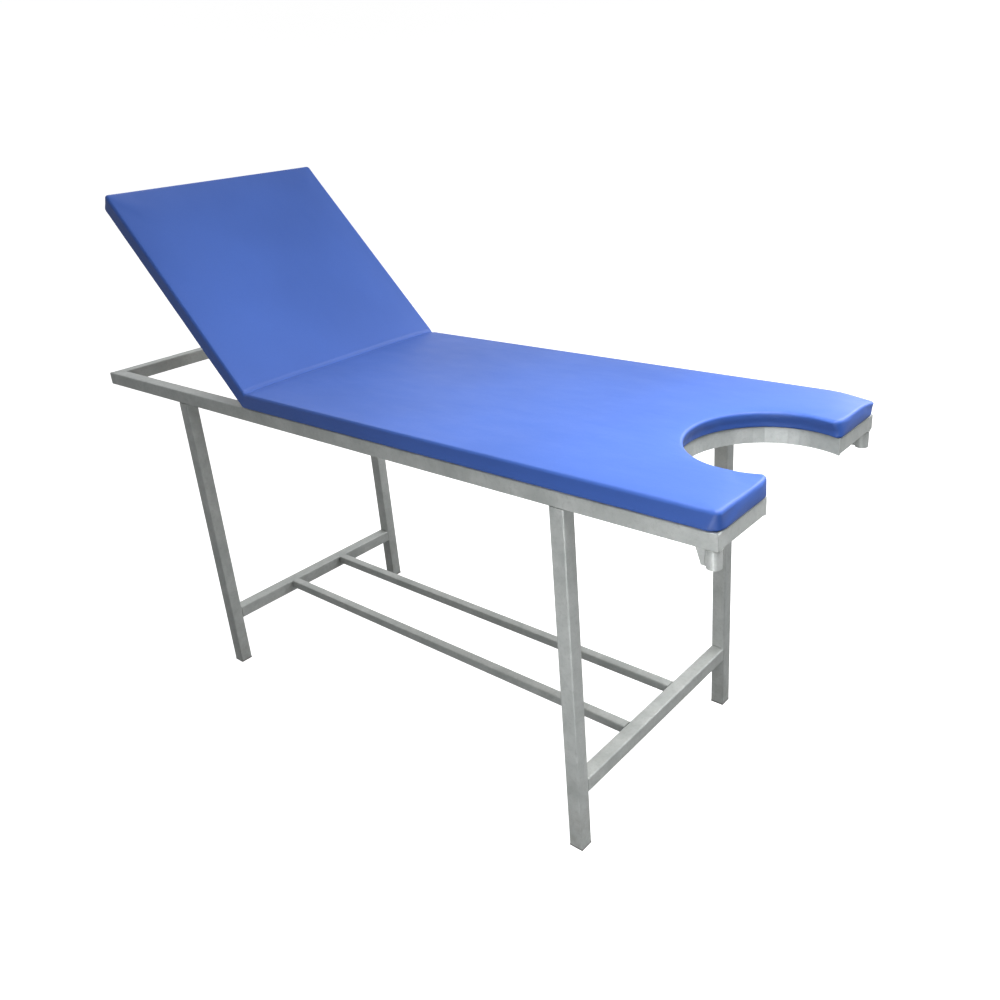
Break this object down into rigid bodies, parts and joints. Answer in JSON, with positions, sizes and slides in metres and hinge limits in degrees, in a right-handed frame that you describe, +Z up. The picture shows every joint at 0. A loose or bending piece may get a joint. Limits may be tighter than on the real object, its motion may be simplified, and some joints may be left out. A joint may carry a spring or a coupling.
{
  "type": "gynaecological examination couch",
  "caption": "Tube-frame gynaecological examination couch with padded vinyl top, round foot cut-out and a ratchet backrest raised to 45 degrees.",
  "frame": {"origin": "on the floor, under the middle of the couch's bounding box", "axes": "+X from the head end to the foot end, -Y the near long side, +Z up"},
  "size_m": [1.833, 0.614, 1.2542],
  "materials": {
    "silver_grey_paint": "satin silver-grey powder coat",
    "zinc_plated_steel": "dull zinc plate",
    "blue_vinyl": "smooth upholstery vinyl, soft sheen",
    "plywood": "plain plywood",
    "grey_plastic": "moulded plastic"
  },
  "bodies": {
    "frame": {"bearer_cross_member": "silver_grey_paint", "cutout_band": "silver_grey_paint", "cutout_cross_member": "silver_grey_paint", "foot_rail_far": "silver_grey_paint", "foot_rail_near": "silver_grey_paint", "head_rail": "silver_grey_paint", "hinge_cross_member": "silver_grey_paint", "hinge_leaf_fixed_far": "zinc_plated_steel", "hinge_leaf_fixed_near": "zinc_plated_steel", "hinge_pin_far": "zinc_plated_steel", "hinge_pin_near": "zinc_plated_steel", "leg_foot_far": "silver_grey_paint", "leg_foot_near": "silver_grey_paint", "leg_glide_foot_far": "grey_plastic", "leg_glide_foot_near": "grey_plastic", "leg_glide_head_far": "grey_plastic", "leg_glide_head_near": "grey_plastic", "leg_head_far": "silver_grey_paint", "leg_head_near": "silver_grey_paint", "lower_rail_foot": "silver_grey_paint", "lower_rail_head": "silver_grey_paint", "prop_bearer_far": "silver_grey_paint", "prop_bearer_near": "silver_grey_paint", "prop_lug_far": "silver_grey_paint", "prop_lug_near": "silver_grey_paint", "seat_board": "plywood", "seat_cross_member": "silver_grey_paint", "seat_pad": "blue_vinyl", "seat_screw_1": "zinc_plated_steel", "seat_screw_2": "zinc_plated_steel", "seat_screw_3": "zinc_plated_steel", "seat_screw_4": "zinc_plated_steel", "side_rail_far": "silver_grey_paint", "side_rail_near": "silver_grey_paint", "socket_web_far": "silver_grey_paint", "socket_web_near": "silver_grey_paint", "stirrup_socket_far": "silver_grey_paint", "stirrup_socket_near": "silver_grey_paint", "stretcher_far": "silver_grey_paint", "stretcher_near": "silver_grey_paint"},
    "backrest": {"backrest_board": "plywood", "backrest_pad": "blue_vinyl", "hinge_leaf_moving_far": "zinc_plated_steel", "hinge_leaf_moving_near": "zinc_plated_steel", "hinge_screw_1": "zinc_plated_steel", "hinge_screw_2": "zinc_plated_steel", "hinge_screw_3": "zinc_plated_steel", "hinge_screw_4": "zinc_plated_steel", "rack_screw_1": "zinc_plated_steel", "rack_screw_2": "zinc_plated_steel", "rack_screw_3": "zinc_plated_steel", "rack_screw_4": "zinc_plated_steel", "ratchet_rack_far": "zinc_plated_steel", "ratchet_rack_near": "zinc_plated_steel"},
    "prop": {"prop_arm_far": "zinc_plated_steel", "prop_arm_near": "zinc_plated_steel", "prop_pivot_rod": "zinc_plated_steel", "prop_top_rod": "zinc_plated_steel"}
  },
  "joints": [
    {"name": "backrest_hinge", "type": "hinge", "parent": "frame", "child": "backrest", "pos_m": [-0.3035, 0, 0.774], "axis": [0, 1, 0], "range_deg": [-45, 15]},
    {"name": "prop_pivot", "type": "hinge", "parent": "frame", "child": "prop", "pos_m": [-0.5385, 0, 0.774], "axis": [0, 1, 0], "range_deg": [-90, 30]}
  ],
  "couplings": [
    {"joint": "prop_pivot", "follows": "backrest_hinge", "ratio": 2}
  ]
}
